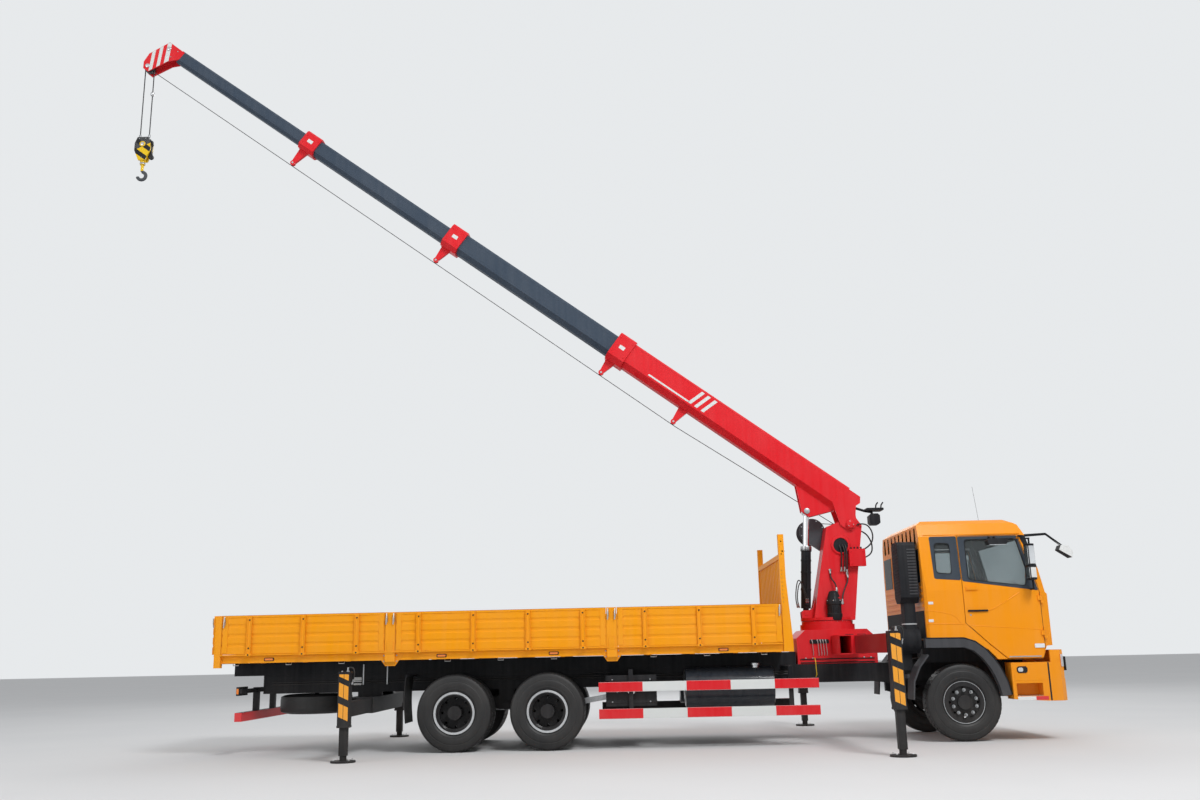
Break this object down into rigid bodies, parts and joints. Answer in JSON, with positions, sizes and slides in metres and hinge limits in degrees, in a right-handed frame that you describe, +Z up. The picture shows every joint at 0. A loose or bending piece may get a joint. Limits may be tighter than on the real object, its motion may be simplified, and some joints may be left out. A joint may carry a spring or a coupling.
{
  "type": "truck-mounted telescopic loader crane",
  "caption": "Flatbed truck with a slewing telescopic loader crane behind its tilting cab, stabiliser legs, drop sides and a hook block",
  "frame": {"origin": "on the ground under the middle of the whole outline, boom and hook included", "axes": "+X is where the cab looks, +Y its left side, +Z up"},
  "size_m": [14.517, 6.38, 11.7514],
  "materials": {
    "cab_paint": "orange-yellow gloss paint",
    "bed_paint": "orange-yellow paint",
    "crane_red": "bright red gloss paint",
    "boom_grey": "dark slate grey paint",
    "chassis_black": "black paint",
    "guard_white": "white paint with red blocks",
    "tyre": "black rubber",
    "rim_paint": "black paint",
    "glass": "dark tinted glass",
    "trim_black": "grained dark plastic",
    "rod_chrome": "ground and chromed",
    "tank_steel": "plain metal",
    "winch_grey": "grey paint",
    "hook_paint": "yellow paint with black stripes"
  },
  "bodies": {
    "chassis": {"air_intake": "trim_black", "crane_base": "chassis_black", "front_axle": "chassis_black", "front_bumper": "cab_paint", "guards": "guard_white", "headboard": "bed_paint", "ladder_frame": "chassis_black", "load_bed": "bed_paint", "powertrain": "chassis_black", "rear_axles": "chassis_black", "rear_guard": "chassis_black", "rear_outrigger_box": "chassis_black", "spare_wheel": "tyre", "subframe": "chassis_black", "tanks": "tank_steel"},
    "knuckle_right": {"knuckle_right": "chassis_black"},
    "wheel_front_right": {"wheel_front_right": "rim_paint", "tyre_front_right": "tyre"},
    "wheel_first_rear_right": {"wheel_first_rear_right": "rim_paint", "tyre_first_rear_right": "tyre"},
    "wheel_second_rear_right": {"wheel_second_rear_right": "rim_paint", "tyre_second_rear_right": "tyre"},
    "knuckle_left": {"knuckle_left": "chassis_black"},
    "wheel_front_left": {"wheel_front_left": "rim_paint", "tyre_front_left": "tyre"},
    "wheel_first_rear_left": {"wheel_first_rear_left": "rim_paint", "tyre_first_rear_left": "tyre"},
    "wheel_second_rear_left": {"wheel_second_rear_left": "rim_paint", "tyre_second_rear_left": "tyre"},
    "cab": {"cab_shell": "cab_paint", "cab_glass": "glass", "cab_interior": "trim_black"},
    "door_right": {"door_right": "cab_paint", "door_glass_right": "glass"},
    "door_left": {"door_left": "cab_paint", "door_glass_left": "glass"},
    "column": {"crane_column": "crane_red", "winch": "winch_grey"},
    "boom": {"boom_base": "crane_red"},
    "section_2": {"boom_section_2": "boom_grey"},
    "section_3": {"boom_section_3": "boom_grey"},
    "section_4": {"boom_section_4": "boom_grey"},
    "hook": {"hook_block": "hook_paint"},
    "barrel": {"luff_cylinder": "crane_red"},
    "rod": {"luff_rod": "rod_chrome"},
    "front_beam_right": {"front_beam_right": "chassis_black"},
    "front_leg_right": {"front_leg_right": "chassis_black"},
    "front_beam_left": {"front_beam_left": "chassis_black"},
    "front_leg_left": {"front_leg_left": "chassis_black"},
    "rear_beam_right": {"rear_beam_right": "chassis_black"},
    "rear_leg_right": {"rear_leg_right": "chassis_black"},
    "rear_beam_left": {"rear_beam_left": "chassis_black"},
    "rear_leg_left": {"rear_leg_left": "chassis_black"},
    "drop_side_right_1": {"drop_side_right_1": "bed_paint"},
    "drop_side_right_2": {"drop_side_right_2": "bed_paint"},
    "drop_side_right_3": {"drop_side_right_3": "bed_paint"},
    "drop_side_left_1": {"drop_side_left_1": "bed_paint"},
    "drop_side_left_2": {"drop_side_left_2": "bed_paint"},
    "drop_side_left_3": {"drop_side_left_3": "bed_paint"},
    "tailboard": {"tailboard": "bed_paint"}
  },
  "joints": [
    {"name": "steer_right", "type": "hinge", "parent": "chassis", "child": "knuckle_right", "pos_m": [5.528, -0.76, 0.527], "axis": [0, 0, 1], "range_deg": [-35, 35]},
    {"name": "spin_front_right", "type": "hinge", "parent": "knuckle_right", "child": "wheel_front_right", "pos_m": [5.528, -0.9675, 0.527], "axis": [0, 1, 0], "continuous": true},
    {"name": "spin_first_rear_right", "type": "hinge", "parent": "chassis", "child": "wheel_first_rear_right", "pos_m": [-0.272, -0.9175, 0.527], "axis": [0, 1, 0], "continuous": true},
    {"name": "spin_second_rear_right", "type": "hinge", "parent": "chassis", "child": "wheel_second_rear_right", "pos_m": [-1.572, -0.9175, 0.527], "axis": [0, 1, 0], "continuous": true},
    {"name": "steer_left", "type": "hinge", "parent": "chassis", "child": "knuckle_left", "pos_m": [5.528, 0.76, 0.527], "axis": [0, 0, 1], "range_deg": [-35, 35]},
    {"name": "spin_front_left", "type": "hinge", "parent": "knuckle_left", "child": "wheel_front_left", "pos_m": [5.528, 0.9675, 0.527], "axis": [0, 1, 0], "continuous": true},
    {"name": "spin_first_rear_left", "type": "hinge", "parent": "chassis", "child": "wheel_first_rear_left", "pos_m": [-0.272, 0.9175, 0.527], "axis": [0, 1, 0], "continuous": true},
    {"name": "spin_second_rear_left", "type": "hinge", "parent": "chassis", "child": "wheel_second_rear_left", "pos_m": [-1.572, 0.9175, 0.527], "axis": [0, 1, 0], "continuous": true},
    {"name": "cab_tilt", "type": "hinge", "parent": "chassis", "child": "cab", "pos_m": [6.828, 0, 1], "axis": [0, 1, 0], "range_deg": [0, 45]},
    {"name": "door_right", "type": "hinge", "parent": "cab", "child": "door_right", "pos_m": [6.702, -1.188, 1.7], "axis": [0, 0, 1], "range_deg": [0, 70]},
    {"name": "door_left", "type": "hinge", "parent": "cab", "child": "door_left", "pos_m": [6.702, 1.188, 1.7], "axis": [0, 0, -1], "range_deg": [0, 70]},
    {"name": "slew", "type": "hinge", "parent": "chassis", "child": "column", "pos_m": [3.898, 0, 1.7], "axis": [0, 0, 1], "continuous": true},
    {"name": "luff", "type": "hinge", "parent": "column", "child": "boom", "pos_m": [4.318, 0, 3.14], "axis": [0, 1, 0], "range_deg": [-36, 40]},
    {"name": "telescope_2", "type": "slide", "parent": "boom", "child": "section_2", "axis": [-0.8039, 0, 0.5948], "range_m": [-2.2, 0]},
    {"name": "telescope_3", "type": "slide", "parent": "section_2", "child": "section_3", "axis": [-0.8039, 0, 0.5948], "range_m": [-2.2, 0]},
    {"name": "telescope_4", "type": "slide", "parent": "section_3", "child": "section_4", "axis": [-0.8039, 0, 0.5948], "range_m": [-2.2, 0]},
    {"name": "hook_swing", "type": "hinge", "parent": "section_4", "child": "hook", "pos_m": [-7.12401, 0, 11.3143], "axis": [0, 1, 0], "range_deg": [-40, 36]},
    {"name": "cylinder_swing", "type": "hinge", "parent": "column", "child": "barrel", "pos_m": [3.588, 0, 1.82], "axis": [0, 1, 0], "range_deg": [-4.5, 5]},
    {"name": "cylinder_rod", "type": "slide", "parent": "barrel", "child": "rod", "axis": [0.0644, 0, 0.9979], "range_m": [-0.4, 0.43]},
    {"name": "front_beam_right", "type": "slide", "parent": "chassis", "child": "front_beam_right", "axis": [0, -1, 0], "range_m": [-1.88, 0]},
    {"name": "front_leg_right", "type": "slide", "parent": "front_beam_right", "child": "front_leg_right", "axis": [0, 0, 1], "range_m": [0, 0.45]},
    {"name": "front_beam_left", "type": "slide", "parent": "chassis", "child": "front_beam_left", "axis": [0, 1, 0], "range_m": [-1.88, 0]},
    {"name": "front_leg_left", "type": "slide", "parent": "front_beam_left", "child": "front_leg_left", "axis": [0, 0, 1], "range_m": [0, 0.45]},
    {"name": "rear_beam_right", "type": "slide", "parent": "chassis", "child": "rear_beam_right", "axis": [0, -1, 0], "range_m": [-1.2, 0]},
    {"name": "rear_leg_right", "type": "slide", "parent": "rear_beam_right", "child": "rear_leg_right", "axis": [0, 0, 1], "range_m": [0, 0.39]},
    {"name": "rear_beam_left", "type": "slide", "parent": "chassis", "child": "rear_beam_left", "axis": [0, 1, 0], "range_m": [-1.2, 0]},
    {"name": "rear_leg_left", "type": "slide", "parent": "rear_beam_left", "child": "rear_leg_left", "axis": [0, 0, 1], "range_m": [0, 0.39]},
    {"name": "drop_side_right_1", "type": "hinge", "parent": "chassis", "child": "drop_side_right_1", "pos_m": [5.528, -1.257, 1.375], "axis": [1, 0, 0], "range_deg": [0, 180]},
    {"name": "drop_side_right_2", "type": "hinge", "parent": "chassis", "child": "drop_side_right_2", "pos_m": [5.528, -1.257, 1.375], "axis": [1, 0, 0], "range_deg": [0, 180]},
    {"name": "drop_side_right_3", "type": "hinge", "parent": "chassis", "child": "drop_side_right_3", "pos_m": [5.528, -1.257, 1.375], "axis": [1, 0, 0], "range_deg": [0, 180]},
    {"name": "drop_side_left_1", "type": "hinge", "parent": "chassis", "child": "drop_side_left_1", "pos_m": [5.528, 1.257, 1.375], "axis": [-1, 0, 0], "range_deg": [0, 180]},
    {"name": "drop_side_left_2", "type": "hinge", "parent": "chassis", "child": "drop_side_left_2", "pos_m": [5.528, 1.257, 1.375], "axis": [-1, 0, 0], "range_deg": [0, 180]},
    {"name": "drop_side_left_3", "type": "hinge", "parent": "chassis", "child": "drop_side_left_3", "pos_m": [5.528, 1.257, 1.375], "axis": [-1, 0, 0], "range_deg": [0, 180]},
    {"name": "tailboard", "type": "hinge", "parent": "chassis", "child": "tailboard", "pos_m": [-5.014, 0, 1.375], "axis": [0, -1, 0], "range_deg": [0, 180]}
  ],
  "couplings": [
    {"joint": "steer_left", "follows": "steer_right", "ratio": 1},
    {"joint": "telescope_3", "follows": "telescope_2", "ratio": 1},
    {"joint": "telescope_4", "follows": "telescope_2", "ratio": 1},
    {"joint": "cylinder_swing", "follows": "luff", "ratio": 0.12},
    {"joint": "cylinder_rod", "follows": "luff", "m_per_rad": 0.61}
  ]
}
